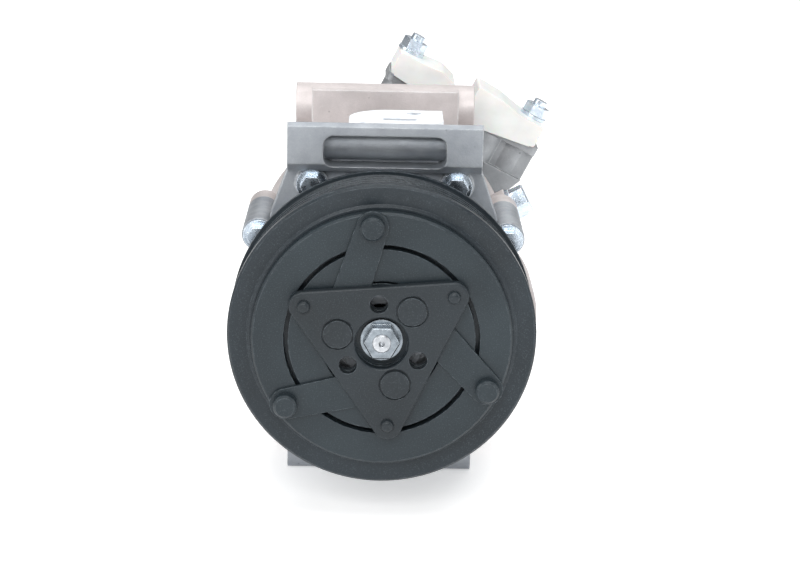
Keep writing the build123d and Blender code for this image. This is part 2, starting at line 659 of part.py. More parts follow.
with BuildPart() as rear_head:
    with BuildSketch(across(HEAD_BACK - 4)):
        Circle(HEAD_R)
    extrude(amount=HEAD_BACK - 4 - HEAD_FRONT)
    with BuildSketch(across(HEAD_BACK)):
        Circle(HEAD_R - 5)
    extrude(amount=4)
    # control valve boss, closed at its inner end
    with BuildSketch(Plane.YZ.offset(VALVE_MOUTH)):
        with Locations((VALVE_Y, VALVE_Z)):
            Circle(VALVE_R + 4)
    extrude(amount=VALVE_DEPTH + 6)
    # port tower: fluted column under a flat pad
    with BuildSketch(pad_plane((PAD_LEFT + PAD_RIGHT) / 2, PAD_OFFSET - PAD_LIP)):
        RectangleRounded(PAD_RIGHT - PAD_LEFT, PAD_WIDTH, 3)
    extrude(amount=PAD_LIP)
    with BuildSketch(pad_plane(0, TOWER_FOOT)):
        with Locations((SUCTION_PORT_T, 0)):
            Circle(SUCTION_PORT_R + 4)
        with Locations((DISCHARGE_PORT_T, 0)):
            Circle(DISCHARGE_PORT_R + 4.5)
        with Locations((STUD_LEFT_T + 2, 0)):
            Circle(7)
        with Locations(((STUD_LEFT_T + SUCTION_PORT_T) / 2, 0)):
            Rectangle(SUCTION_PORT_T - STUD_LEFT_T, 14)
    extrude(amount=PAD_OFFSET - PAD_LIP - TOWER_FOOT)
    # stud boss on the right, standing on a sloping foot
    with BuildSketch(pad_plane(PAD_RIGHT - STUD_BOSS_R, STUD_BOSS_FOOT)):
        Circle(STUD_BOSS_R)
    extrude(amount=PAD_OFFSET - PAD_LIP - STUD_BOSS_FOOT)
    with BuildSketch(TOWER_SIDE.offset(TOWER_Y - TOWER_WEB_FRONT)):
        with BuildLine():
            Polyline(
                (SUCTION_PORT_T, TOWER_FOOT + 4),
                (FOOT_T, FOOT_N),
                (PAD_RIGHT, STUD_BOSS_FOOT),
                (PAD_RIGHT, PAD_OFFSET - PAD_LIP),
                (SUCTION_PORT_T, PAD_OFFSET - PAD_LIP),
                close=True,
            )
        make_face()
    extrude(amount=TOWER_WEB_FRONT - TOWER_WEB_BACK)
    with BuildSketch(TOWER_SIDE.offset(TOWER_Y - TOWER_FOOT_FRONT)):
        with BuildLine():
            Polyline(
                (FOOT_T - 12, FOOT_N),
                (FOOT_T, FOOT_N),
                (PAD_RIGHT, STUD_BOSS_FOOT),
                (PAD_RIGHT - 2 * STUD_BOSS_R, STUD_BOSS_FOOT),
                close=True,
            )
        make_face()
    extrude(amount=TOWER_FOOT_FRONT - TOWER_WEB_BACK)
    # spot faces and holes of the head bolts
    with BuildSketch(across(HEAD_BACK)):
        with Locations(*REAR_BOLT_POINTS):
            Circle(BOLT_FLANGE_R + SPOT_GAP)
    extrude(amount=HEAD_BACK - REAR_BOLT_SEAT, mode=Mode.SUBTRACT)
    with BuildSketch(across(REAR_BOLT_SEAT)):
        with Locations(*REAR_BOLT_POINTS):
            Circle(BOLT_HOLE_R)
    extrude(amount=REAR_BOLT_SEAT - HEAD_FRONT, mode=Mode.SUBTRACT)
    # suction ring chamber and discharge chamber
    with BuildSketch(across(RING_CHAMBER_BACK)):
        Circle(CHAMBER_OUT_R)
        Circle(CHAMBER_IN_R, mode=Mode.SUBTRACT)
        with Locations(*REAR_BOLT_POINTS):
            Circle(PAD_R, mode=Mode.SUBTRACT)
    extrude(amount=RING_CHAMBER_BACK - HEAD_FRONT, mode=Mode.SUBTRACT)
    with BuildSketch(across(VALVE_Y - VALVE_R - 3)):
        Circle(CENTRE_CHAMBER_R)
    extrude(amount=VALVE_Y - VALVE_R - 3 - HEAD_FRONT, mode=Mode.SUBTRACT)
    with BuildSketch(across(CENTRE_CHAMBER_BACK)):
        with Locations((POCKET_X, POCKET_Z)):
            Circle(POCKET_R)
    extrude(amount=CENTRE_CHAMBER_BACK - HEAD_FRONT, mode=Mode.SUBTRACT)
    # port bores: a seat for the line's spigot, then a passage down to the chamber
    with BuildSketch(pad_plane(SUCTION_PORT_T, SUCTION_SEAT)):
        Circle(SUCTION_PORT_R)
    extrude(amount=PAD_OFFSET - SUCTION_SEAT + 1, mode=Mode.SUBTRACT)
    with BuildSketch(pad_plane(SUCTION_PORT_T, CHAMBER_IN_R + 3)):
        with Locations((0, -4)):
            Rectangle(2 * SUCTION_PASSAGE_R - 3, 2 * SUCTION_PASSAGE_R)
    extrude(amount=SUCTION_SEAT - CHAMBER_IN_R - 2, mode=Mode.SUBTRACT)
    with BuildSketch(pad_plane(DISCHARGE_PORT_T, DISCHARGE_SEAT)):
        Circle(DISCHARGE_PORT_R)
    extrude(amount=PAD_OFFSET - DISCHARGE_SEAT + 1, mode=Mode.SUBTRACT)
    with BuildSketch(pad_plane(DISCHARGE_PORT_T, 16)):
        Circle(DISCHARGE_PASSAGE_R)
    extrude(amount=DISCHARGE_SEAT - 15, mode=Mode.SUBTRACT)
    # wider mouths for the spigots of the caps
    for t, radius in ((SUCTION_PORT_T, SUCTION_PORT_R), (DISCHARGE_PORT_T, DISCHARGE_PORT_R)):
        with BuildSketch(pad_plane(t, PAD_OFFSET - MOUTH_DEPTH)):
            Circle(radius + MOUTH_STEP)
        extrude(amount=MOUTH_DEPTH + 1, mode=Mode.SUBTRACT)
    # stud holes
    with BuildSketch(pad_plane(0, PAD_OFFSET - 14)):
        with Locations((STUD_LEFT_T, 0), (STUD_RIGHT_T, 0)):
            Circle(STUD_R + SEAT)
    extrude(amount=15, mode=Mode.SUBTRACT)
    # control valve bore
    with BuildSketch(Plane.YZ.offset(VALVE_MOUTH - 1)):
        with Locations((VALVE_Y, VALVE_Z)):
            Circle(VALVE_R + SEAT)
    extrude(amount=VALVE_DEPTH + 1, mode=Mode.SUBTRACT)
    # relief valve hole in the rear wall
    with BuildSketch(across(HEAD_BACK)):
        with Locations((RELIEF_X, RELIEF_Z)):
            Circle(RELIEF_R + SEAT)
    extrude(amount=HEAD_BACK - CENTRE_CHAMBER_BACK + 1, mode=Mode.SUBTRACT)
save(rear_head, "rear_head")

with BuildPart() as control_valve:
    with BuildSketch(Plane.XZ.offset(-VALVE_Y)):
        for start, length, radius in ((0, 20, 8), (20, 3, 6.6), (23, 12, 7.4), (35, 3, 5.6), (38, 18, 6.4)):
            with Locations((VALVE_MOUTH + 1 + start + length / 2, VALVE_Z + radius / 2)):
                Rectangle(length, radius)
    revolve(axis=Axis((0, VALVE_Y, VALVE_Z), (1, 0, 0)))
    with BuildSketch(Plane.YZ.offset(VALVE_MOUTH - 4)):
        with Locations((VALVE_Y, VALVE_Z)):
            Circle(6.5)
    extrude(amount=6)
    with BuildSketch(Plane.YZ.offset(VALVE_MOUTH - 4)):
        with Locations((VALVE_Y, VALVE_Z)):
            RectangleRounded(8, 5, 1)
    extrude(amount=4, mode=Mode.SUBTRACT)
save(control_valve, "control_valve")

with BuildPart() as relief_valve:
    with BuildSketch(across(HEAD_BACK)):
        with Locations((RELIEF_X, RELIEF_Z)):
            Circle(RELIEF_R)
    extrude(amount=HEAD_BACK - CENTRE_CHAMBER_BACK)
    with BuildSketch(across(HEAD_BACK + 5)):
        with Locations((RELIEF_X, RELIEF_Z)):
            RegularPolygon(6.5, 6, major_radius=False)
            Circle(2, mode=Mode.SUBTRACT)
    extrude(amount=5)
save(relief_valve, "relief_valve")

# ======================= case bolts, head bolts =======================
with BuildPart() as front_case_bolts:
    for x, z in [polar(BOLT_CIRCLE_R, angle) for angle in BOLT_ANGLES]:
        with BuildSketch(across(FRONT_BOLT_TIP)):
            with Locations((x, z)):
                Circle(BOLT_R)
        extrude(amount=FRONT_BOLT_TIP - FRONT_BOLT_SEAT + 1)
        with BuildSketch(across(FRONT_BOLT_SEAT)):
            with Locations((x, z)):
                Circle(BOLT_FLANGE_R)
        extrude(amount=1.4)
        with BuildSketch(across(FRONT_BOLT_SEAT - 1.4)):
            with Locations((x, z)):
                RegularPolygon(4.0, 6, major_radius=False)
        extrude(amount=BOLT_HEAD - 1.4)
save(front_case_bolts, "front_case_bolts")

with BuildPart() as rear_head_bolts:
    for x, z in REAR_BOLT_POINTS:
        with BuildSketch(across(REAR_BOLT_SEAT + 1)):
            with Locations((x, z)):
                Circle(BOLT_R)
        extrude(amount=REAR_BOLT_SEAT + 1 - REAR_BOLT_TIP)
        with BuildSketch(across(REAR_BOLT_SEAT + 1.4)):
            with Locations((x, z)):
                Circle(BOLT_FLANGE_R)
        extrude(amount=1.4)
        with BuildSketch(across(REAR_BOLT_SEAT + BOLT_HEAD)):
            with Locations((x, z)):
                RegularPolygon(4.0, 6, major_radius=False)
        extrude(amount=BOLT_HEAD - 1.4)
save(rear_head_bolts, "rear_head_bolts")

# ======================= port studs, caps and nuts =======================
CAP_TOP = PAD_OFFSET + CAP_THICKNESS
STUD_TIP = CAP_TOP + 8.5
CAP_NUT_FLATS = 10.0
CAP_NUT_FLANGE_R = 6.2
CAP_NUT_HEIGHT = 6.0
CAP_REAR = PAD_WIDTH / 2 - 0.5
CAP_SPIGOT = 3.0
CAP_FRONT = 15.5  # reach of the lid in front of the tower centre, past the pad
SKIRT = 2.2
CAP_WALL = 2.0

with BuildPart() as port_studs:
    with BuildSketch(pad_plane(0, PAD_OFFSET - 13)):
        with Locations((STUD_LEFT_T, 0), (STUD_RIGHT_T, 0)):
            Circle(STUD_R)
    extrude(amount=STUD_TIP - PAD_OFFSET + 13)
save(port_studs, "port_studs")


def port_cap(name, outline, skirt, stud_t, port_t, port_r):
    """Shipping cap: a crowned lid over one port, skirted in front, with a hollow spigot."""
    with BuildPart() as cap:
        with BuildSketch(TOWER_SIDE.offset(-CAP_REAR)):
            with BuildLine():
                Polyline(*outline, close=True)
            make_face()
        extrude(amount=CAP_REAR + CAP_FRONT)
        fillet(cap.edges().filter_by(Axis.Y), 1.2)
        with BuildSketch(TOWER_SIDE.offset(CAP_FRONT - SKIRT)):
            with BuildLine():
                Polyline(*skirt, close=True)
            make_face()
        extrude(amount=SKIRT)
        with BuildSketch(pad_plane(port_t, PAD_OFFSET - CAP_SPIGOT)):
            Circle(port_r - CAP_GAP)
            Circle(port_r - CAP_GAP - CAP_WALL, mode=Mode.SUBTRACT)
        extrude(amount=CAP_SPIGOT + 1)
        with BuildSketch(pad_plane(stud_t, PAD_OFFSET - 1)):
            Circle(STUD_R + CAP_GAP)
        extrude(amount=CAP_THICKNESS + CAP_RISE + 2, mode=Mode.SUBTRACT)
    save(cap, name)


def cap_nut(name, stud_t):
    """Flanged hex nut on a port stud."""
    with BuildPart() as nut:
        with BuildSketch(pad_plane(stud_t, CAP_TOP)):
            Circle(CAP_NUT_FLANGE_R)
        extrude(amount=1.4)
        with BuildSketch(pad_plane(stud_t, CAP_TOP + 1.4)):
            RegularPolygon(CAP_NUT_FLATS / 2, 6, major_radius=False)
        extrude(amount=CAP_NUT_HEIGHT - 1.4)
        with BuildSketch(pad_plane(stud_t, CAP_TOP)):
            Circle(STUD_R + RUN)
        extrude(amount=CAP_NUT_HEIGHT, mode=Mode.SUBTRACT)
    save(nut, name)


DISCHARGE_CAP_LEFT = STUD_LEFT_T - CAP_LIP
DISCHARGE_CAP_RIGHT = DISCHARGE_PORT_T + DISCHARGE_PORT_R + 3.5
SUCTION_CAP_LEFT = SUCTION_PORT_T - SUCTION_PORT_R - 3.5
SUCTION_CAP_RIGHT = STUD_RIGHT_T + CAP_LIP
NUT_SEAT_HALF = CAP_NUT_FLANGE_R + 0.8

port_cap(
    "discharge_cap",
    [
        (DISCHARGE_CAP_LEFT, PAD_OFFSET),
        (DISCHARGE_CAP_RIGHT, PAD_OFFSET),
        (DISCHARGE_CAP_RIGHT, CAP_TOP - 1.5),
        (DISCHARGE_PORT_T + 2, CAP_TOP + 0.8),
        (STUD_LEFT_T + NUT_SEAT_HALF, CAP_TOP),
        (DISCHARGE_CAP_LEFT, CAP_TOP),
    ],
    [
        (DISCHARGE_CAP_LEFT + 2, PAD_OFFSET + 2),
        (DISCHARGE_CAP_LEFT + 2, PAD_OFFSET - 0.5),
        (DISCHARGE_CAP_RIGHT - 1, PAD_OFFSET - 3),
        (DISCHARGE_CAP_RIGHT - 1, PAD_OFFSET + 2),
    ],
    STUD_LEFT_T,
    DISCHARGE_PORT_T,
    DISCHARGE_PORT_R,
)
port_cap(
    "suction_cap",
    [
        (SUCTION_CAP_LEFT, PAD_OFFSET),
        (SUCTION_CAP_RIGHT, PAD_OFFSET),
        (SUCTION_CAP_RIGHT, CAP_TOP),
        (STUD_RIGHT_T - NUT_SEAT_HALF, CAP_TOP),
        (SUCTION_PORT_T, CAP_TOP + CAP_RISE - 0.6),
        (SUCTION_CAP_LEFT, CAP_TOP + CAP_RISE),
    ],
    [
        (SUCTION_CAP_LEFT + 1, PAD_OFFSET + 2),
        (SUCTION_CAP_LEFT + 1, PAD_OFFSET - 5),
        (SUCTION_CAP_RIGHT - 2, PAD_OFFSET - 0.5),
        (SUCTION_CAP_RIGHT - 2, PAD_OFFSET + 2),
    ],
    STUD_RIGHT_T,
    SUCTION_PORT_T,
    SUCTION_PORT_R,
)
cap_nut("discharge_cap_nut", STUD_LEFT_T)
cap_nut("suction_cap_nut", STUD_RIGHT_T)

# ======================= connector bracket between the ears =======================
BRACKET_TOP = 70.5
BRACKET_SHEET = 1.5
BRACKET_RIGHT = 24.0
BRACKET_LEFT = -15.0
BRACKET_BACK = 96.0

with BuildPart() as connector_bracket:
    with BuildSketch(Plane.XY.offset(BRACKET_TOP - BRACKET_SHEET)):
        with BuildLine():
            Polyline(
                (0, BRACKET_BACK),
                (BRACKET_RIGHT, BRACKET_BACK),
                (BRACKET_RIGHT, BRACKET_LEG_Y + 11),
                (BRACKET_X + 9, BRACKET_LEG_Y),
                (BRACKET_X - 9, BRACKET_LEG_Y),
                (BRACKET_LEFT, BRACKET_LEG_Y + 13),
                (BRACKET_LEFT, BRACKET_LEG_Y + 19),
            )
            ThreePointArc((BRACKET_LEFT, BRACKET_LEG_Y + 19), (-11, 90), (0, BRACKET_BACK))
        make_face()
        with Locations((12, BRACKET_BACK - 7)):
            Circle(3, mode=Mode.SUBTRACT)
        with Locations((6, BRACKET_LEG_Y + 15)):
            RectangleRounded(14, 5, 1, mode=Mode.SUBTRACT)
    extrude(amount=BRACKET_SHEET)
    # leg down to the screwed foot
    with BuildSketch(Plane.XY.offset(BRACKET_SEAT)):
        with Locations((BRACKET_X, BRACKET_LEG_Y + BRACKET_SHEET / 2)):
            Rectangle(14, BRACKET_SHEET)
    extrude(amount=BRACKET_TOP - BRACKET_SEAT)
    with BuildSketch(Plane.XY.offset(BRACKET_SEAT)):
        with Locations((BRACKET_X, BRACKET_LEG_Y + 6.5)):
            RectangleRounded(14, 13, 1)
        with Locations((BRACKET_X, SCREW_Y)):
            Circle(SCREW_R + 0.2, mode=Mode.SUBTRACT)
    extrude(amount=BRACKET_SHEET)
save(connector_bracket, "connector_bracket")

with BuildPart() as bracket_screw:
    with BuildSketch(Plane.XY.offset(BRACKET_SEAT - SCREW_DEPTH)):
        with Locations((BRACKET_X, SCREW_Y)):
            Circle(SCREW_R)
    extrude(amount=SCREW_DEPTH + BRACKET_SHEET)
    with BuildSketch(Plane.XY.offset(BRACKET_SEAT + BRACKET_SHEET)):
        with Locations((BRACKET_X, SCREW_Y)):
            Circle(3.8)
    extrude(amount=2.6)
    with BuildSketch(Plane.XY.offset(BRACKET_SEAT + BRACKET_SHEET + 1.2)):
        with Locations((BRACKET_X, SCREW_Y)):
            Rectangle(5, 1)
            Rectangle(1, 5)
    extrude(amount=2, mode=Mode.SUBTRACT)
save(bracket_screw, "bracket_screw")

# ======================= clutch coil =======================
with BuildPart() as coil_shell:
    with BuildSketch(Plane.XY):
        band(COIL_IN_R, COIL_IN_R + COIL_WALL, COIL_FRONT, COIL_BACK)
        band(COIL_OUT_R - COIL_WALL, COIL_OUT_R, COIL_FRONT, COIL_BACK)
        band(COIL_SEAT_R, COIL_OUT_R, COIL_BACK - COIL_WALL, COIL_BACK)
    revolve(axis=Axis.Y)
    with BuildSketch(across(COIL_BACK)):
        with Locations(polar(LEAD_CIRCLE_R, LEAD_ANGLE)):
            Circle(LEAD_R - 1)
    extrude(amount=COIL_WALL, mode=Mode.SUBTRACT)
save(coil_shell, "coil_shell")

with BuildPart() as coil_winding:
    with BuildSketch(Plane.XY):
        band(
            COIL_IN_R + COIL_WALL,
            COIL_OUT_R - COIL_WALL,
            COIL_FRONT + 0.8,
            COIL_BACK - COIL_WALL,
        )
    revolve(axis=Axis.Y)
save(coil_winding, "coil_winding")

with BuildPart() as coil_lead_gland:
    with BuildSketch(across(LEAD_BACK)):
        with Locations(polar(LEAD_CIRCLE_R, LEAD_ANGLE)):
            Circle(LEAD_R)
    extrude(amount=LEAD_BACK - PLATE_FRONT)
    with BuildSketch(across(PLATE_FRONT)):
        with Locations(polar(LEAD_CIRCLE_R, LEAD_ANGLE)):
            Circle(LEAD_R + 0.8)
    extrude(amount=PLATE_FRONT - COIL_BACK)
    with BuildSketch(across(COIL_BACK)):
        with Locations(polar(LEAD_CIRCLE_R, LEAD_ANGLE)):
            Circle(LEAD_R - 1 - SEAT)
    extrude(amount=COIL_WALL)
save(coil_lead_gland, "coil_lead_gland")

with BuildPart() as housing_snap_rings:
    with BuildSketch(Plane.XY):
        band(COIL_SEAT_R - 1.4, COIL_SEAT_R + 2.4, COIL_SNAP_Y, COIL_SNAP_Y + SNAP_THICKNESS)
        band(BEARING_BORE_R - 1.2, BEARING_BORE_R + 2.2, SNAP_GROOVE_Y, SNAP_GROOVE_Y + SNAP_THICKNESS)
        band(NOSE_BORE_R - 2.2, NOSE_BORE_R + 1.2, SEAL_FRONT - 1.6, SEAL_FRONT)
    revolve(axis=Axis.Y)
    # each ring is split at the bottom
    with Locations((0, 14, -20)):
        Box(4, 40, 20, mode=Mode.SUBTRACT)
save(housing_snap_rings, "housing_snap_rings")

# ======================= pulley and its bearing =======================
RIB_FRONT = (PULLEY_LENGTH - RIB_COUNT * RIB_PITCH) / 2 + 0.6
RIB_FLAT = 0.7
HUB_BACK = BEARING_BACK + 0.2
PULLEY_SLOTS = 6
PULLEY_SLOT_R = 44.0
RACE_INNER_R = BEARING_BORE_R + BEARING_RACE
RACE_OUTER_R = BEARING_R - BEARING_RACE
ROWS = (BEARING_FRONT + BEARING_LENGTH * 0.27, BEARING_BACK - BEARING_LENGTH * 0.27)
SEAL_SHEET = 0.8

with BuildPart() as pulley:
    with BuildSketch(Plane.XY):
        with BuildLine():
            Polyline(
                (BEARING_R, 0),
                (ARMATURE_R + 1, 0),
                (ARMATURE_R + 2, FACE_DISH),
                (PULLEY_R - 1.6, 0),
                (PULLEY_R - 0.9, 0),
                (PULLEY_R, 0.9),
                (PULLEY_R, PULLEY_LENGTH - 0.6),
                (PULLEY_R - 0.6, PULLEY_LENGTH),
                (RIM_INNER_R, PULLEY_LENGTH),
                (RIM_INNER_R, WEB_THICKNESS),
                (HUB_OUTER_R, WEB_THICKNESS),
                (HUB_OUTER_R, HUB_BACK),
                (BEARING_R, HUB_BACK),
                close=True,
            )
        make_face()
        band(BEARING_R - 1.2, BEARING_R + 1, 0, BEARING_FRONT)
        # belt track between the two rims
        for k in range(RIB_COUNT):
            left = RIB_FRONT + k * RIB_PITCH
            with BuildLine():
                Polyline(
                    (PULLEY_R + 1, left + RIB_FLAT / 2),
                    (RIB_TIP_R, left + RIB_FLAT / 2),
                    (RIB_TIP_R - RIB_DEPTH, left + RIB_PITCH / 2 - RIB_FLAT / 2),
                    (RIB_TIP_R - RIB_DEPTH, left + RIB_PITCH / 2 + RIB_FLAT / 2),
                    (RIB_TIP_R, left + RIB_PITCH - RIB_FLAT / 2),
                    (PULLEY_R + 1, left + RIB_PITCH - RIB_FLAT / 2),
                    close=True,
                )
            make_face(mode=Mode.SUBTRACT)
        for k in range(RIB_COUNT - 1):
            with Locations(((RIB_TIP_R + PULLEY_R + 1) / 2, RIB_FRONT + (k + 1) * RIB_PITCH)):
                Rectangle(PULLEY_R + 1 - RIB_TIP_R, RIB_FLAT + 0.01, mode=Mode.SUBTRACT)
    revolve(axis=Axis.Y)
    # banana slots that steer the coil's flux through the friction face
    with BuildSketch(across(WEB_THICKNESS + 1)):
        ring_slots(PULLEY_SLOT_R, 0, PULLEY_SLOTS)
    extrude(amount=WEB_THICKNESS + 2, mode=Mode.SUBTRACT)
save(pulley, "pulley")

with BuildPart() as bearing_inner_ring:
    with BuildSketch(Plane.XY):
        band(BEARING_BORE_R, RACE_INNER_R, BEARING_FRONT, BEARING_BACK)
        for y in ROWS:
            with Locations((BALL_CIRCLE_R, y)):
                Circle(BALL_R + RUN, mode=Mode.SUBTRACT)
    revolve(axis=Axis.Y)
save(bearing_inner_ring, "bearing_inner_ring")

with BuildPart() as bearing_outer_ring:
    with BuildSketch(Plane.XY):
        band(RACE_OUTER_R, BEARING_R, BEARING_FRONT, BEARING_BACK)
        for y in ROWS:
            with Locations((BALL_CIRCLE_R, y)):
                Circle(BALL_R + RUN, mode=Mode.SUBTRACT)
    revolve(axis=Axis.Y)
save(bearing_outer_ring, "bearing_outer_ring")

with BuildPart() as bearing_balls:
    for y in ROWS:
        for x, z in ring_of(BALL_CIRCLE_R, 0, BALLS_PER_ROW):
            with Locations((x, y, z)):
                Sphere(BALL_R)
save(bearing_balls, "bearing_balls")

with BuildPart() as bearing_seals:
    with BuildSketch(Plane.XY):
        band(RACE_INNER_R + 0.3, RACE_OUTER_R, BEARING_FRONT, BEARING_FRONT + SEAL_SHEET)
        band(RACE_INNER_R + 0.3, RACE_OUTER_R, BEARING_BACK - SEAL_SHEET, BEARING_BACK)
    revolve(axis=Axis.Y)
save(bearing_seals, "bearing_seals")

# ======================= armature =======================
BRIDGE_ANGLE = 101.0  # a bridge lies under each leaf spring
RIVET_HEAD_R = 4.6
RIVET_HEAD = 4.2
RUBBER_R = 4.4

with BuildPart() as armature_plate:
    with BuildSketch(Plane.XY):
        with BuildLine():
            Polyline(
                (ARMATURE_HOLE_R, ARMATURE_FRONT),
                (ARMATURE_R - 0.8, ARMATURE_FRONT),
                (ARMATURE_R, ARMATURE_FRONT + 0.8),
                (ARMATURE_R, -AIR_GAP),
                (ARMATURE_HOLE_R, -AIR_GAP),
                close=True,
            )
        make_face()
    revolve(axis=Axis.Y)
    with BuildSketch(across(0)):
        ring_slots(ARMATURE_SLOT_R, BRIDGE_ANGLE, 3)
        with Locations(*ring_of(OUTER_RIVET_R, OUTER_RIVET_ANGLE, 3)):
            Circle(RIVET_SHANK_R + SEAT)
    extrude(amount=-ARMATURE_FRONT + 1, mode=Mode.SUBTRACT)
save(armature_plate, "armature_plate")

with BuildPart() as armature_rivets:
    for x, z in ring_of(OUTER_RIVET_R, OUTER_RIVET_ANGLE, 3):
        with BuildSketch(across(-AIR_GAP - 0.3)):
            with Locations((x, z)):
                Circle(RIVET_SHANK_R)
        extrude(amount=-AIR_GAP - 0.3 - HUB_PLATE_BACK)
        with BuildSketch(across(HUB_PLATE_BACK)):
            with Locations((x, z)):
                Circle(RIVET_HEAD_R)
        extrude(amount=RIVET_HEAD)
    chamfer(armature_rivets.faces().sort_by(Axis.Y)[0:3].edges(), 0.9)
save(armature_rivets, "armature_rivets")

with BuildPart() as leaf_springs:
    for leaf in range(LEAF_COUNT):
        leaf_back = ARMATURE_FRONT - leaf * LEAF_PITCH
        with BuildSketch(across(leaf_back)):
            for k in range(3):
                outer = polar(OUTER_RIVET_R, OUTER_RIVET_ANGLE + 120 * k)
                inner = polar(INNER_RIVET_R, INNER_RIVET_ANGLE + 120 * k)
                with BuildSketch(mode=Mode.PRIVATE) as blade:
                    with Locations(outer):
                        Circle(LEAF_OUTER_R)
                    with Locations(inner):
                        Circle(LEAF_INNER_R)
                    make_hull()
                    with Locations(outer, inner):
                        Circle(RIVET_SHANK_R + SEAT, mode=Mode.SUBTRACT)
                add(blade.sketch)
        extrude(amount=LEAF_THICKNESS)
save(leaf_springs, "leaf_springs")

# ======================= clutch hub and hub plate =======================
FLAT_RIVET_R = 5.5
FLAT_RIVET_HEAD = 1.3
STOP_RIVET_R = 2.5
STOP_DOME = 2.2

with BuildPart() as clutch_hub:
    with BuildSketch(Plane.XY):
        band(STUB_R + SEAT, HUB_FLANGE_R, ARMATURE_FRONT, HUB_FLANGE_BACK)
        band(STUB_R + SEAT, HUB_TUBE_R, HUB_FLANGE_BACK, HUB_TUBE_BACK)
    revolve(axis=Axis.Y)
    with BuildSketch(across(RECESS_FLOOR)):
        Circle(RECESS_R)
    extrude(amount=RECESS_FLOOR - ARMATURE_FRONT + 1, mode=Mode.SUBTRACT)
    with BuildSketch(across(HUB_FLANGE_BACK)):
        with Locations(*ring_of(PULLER_R, PULLER_ANGLE, 3)):
            Circle(PULLER_HOLE_R)
        with Locations(*ring_of(INNER_RIVET_R, INNER_RIVET_ANGLE, 3)):
            Circle(RIVET_SHANK_R + SEAT)
    extrude(amount=HUB_FLANGE_THICKNESS + 1, mode=Mode.SUBTRACT)
save(clutch_hub, "clutch_hub")

with BuildPart() as hub_plate:
    with BuildSketch(across(HUB_PLATE_BACK)):
        with Locations(*ring_of(STOP_R, STOP_ANGLE, 3)):
            Circle(HUB_PLATE_CORNER_R)
        make_hull()
        Circle(RECESS_R, mode=Mode.SUBTRACT)
    extrude(amount=HUB_PLATE_THICKNESS)
    fillet(hub_plate.faces().sort_by(Axis.Y)[0].edges(), 0.9)
    with BuildSketch(across(HUB_PLATE_BACK)):
        with Locations(*ring_of(PULLER_R, PULLER_ANGLE, 3)):
            Circle(PULLER_HOLE_R)
        with Locations(*ring_of(INNER_RIVET_R, INNER_RIVET_ANGLE, 3)):
            Circle(RIVET_SHANK_R + SEAT)
        with Locations(*ring_of(STOP_R, STOP_ANGLE, 3)):
            Circle(STOP_RIVET_R - 1 + SEAT)
    extrude(amount=HUB_PLATE_THICKNESS, mode=Mode.SUBTRACT)
    # shallow seats round the flat rivets
    with BuildSketch(across(HUB_PLATE_FRONT + 0.6)):
        with Locations(*ring_of(INNER_RIVET_R, INNER_RIVET_ANGLE, 3)):
            Circle(FLAT_RIVET_R + 0.7)
    extrude(amount=1, mode=Mode.SUBTRACT)
save(hub_plate, "hub_plate")

with BuildPart() as hub_rivets:
    for x, z in ring_of(INNER_RIVET_R, INNER_RIVET_ANGLE, 3):
        with BuildSketch(across(HUB_FLANGE_BACK + 0.2)):
            with Locations((x, z)):
                Circle(RIVET_SHANK_R)
        extrude(amount=HUB_FLANGE_BACK + 0.2 - HUB_PLATE_FRONT - 0.6)
        with BuildSketch(across(HUB_PLATE_FRONT + 0.6)):
            with Locations((x, z)):
                Circle(FLAT_RIVET_R)
        extrude(amount=FLAT_RIVET_HEAD)
    for x, z in ring_of(STOP_R, STOP_ANGLE, 3):
        with BuildSketch(across(HUB_PLATE_BACK)):
            with Locations((x, z)):
                Circle(STOP_RIVET_R - 1)
        extrude(amount=HUB_PLATE_THICKNESS)
        with BuildSketch(across(HUB_PLATE_FRONT)):
            with Locations((x, z)):
                Circle(STOP_RIVET_R)
        extrude(amount=STOP_DOME)
    domes = hub_rivets.faces().sort_by(Axis.Y)[0:3]
    fillet(domes.edges(), 1.6)
save(hub_rivets, "hub_rivets")

with BuildPart() as rubber_stops:
    with BuildSketch(across(ARMATURE_FRONT)):
        with Locations(*ring_of(STOP_R, STOP_ANGLE, 3)):
            Circle(RUBBER_R)
    extrude(amount=SPRING_STACK)
save(rubber_stops, "rubber_stops")

with BuildPart() as shaft_nut:
    with BuildSketch(across(RECESS_FLOOR)):
        Circle(8.2)
    extrude(amount=1.4)
    with BuildSketch(across(RECESS_FLOOR - 1.4)):
        RegularPolygon(NUT_FLATS / 2, 6, major_radius=False)
    extrude(amount=4.8)
    chamfer(shaft_nut.faces().sort_by(Axis.Y)[0].edges(), 0.5)
    with BuildSketch(across(RECESS_FLOOR)):
        Circle(THREAD_R + SEAT)
    extrude(amount=8, mode=Mode.SUBTRACT)
save(shaft_nut, "shaft_nut")

# ======================= shaft and what turns with it =======================
SHAFT_SHOULDER = 10.0
SLEEVE_R = 12.0
SLEEVE_FRONT = 64.0
SLEEVE_BACK = 78.0
TRUNNION_R = 3.0
TRUNNION_TIP = 16.4
JOURNAL_BORE_R = 13.6
JOURNAL_FLANGE_R = 26.0
JOURNAL_FRONT = 9.0
JOURNAL_LIP = 6.6
HINGE_Y = 57.5
HINGE_Z = 26.5
HINGE_R = 3.0
ARM_HALF = 4.8
EAR_PLATE = 4.5
ROTOR_BACK = ROTOR_FRONT + ROTOR_THICKNESS
ROLLER_R = 0.95
THRUST_CIRCLE_R = 18.0
SPRING_WIRE_R = 0.9
SPRING_R = 10.0
SPRING_TURNS = 4

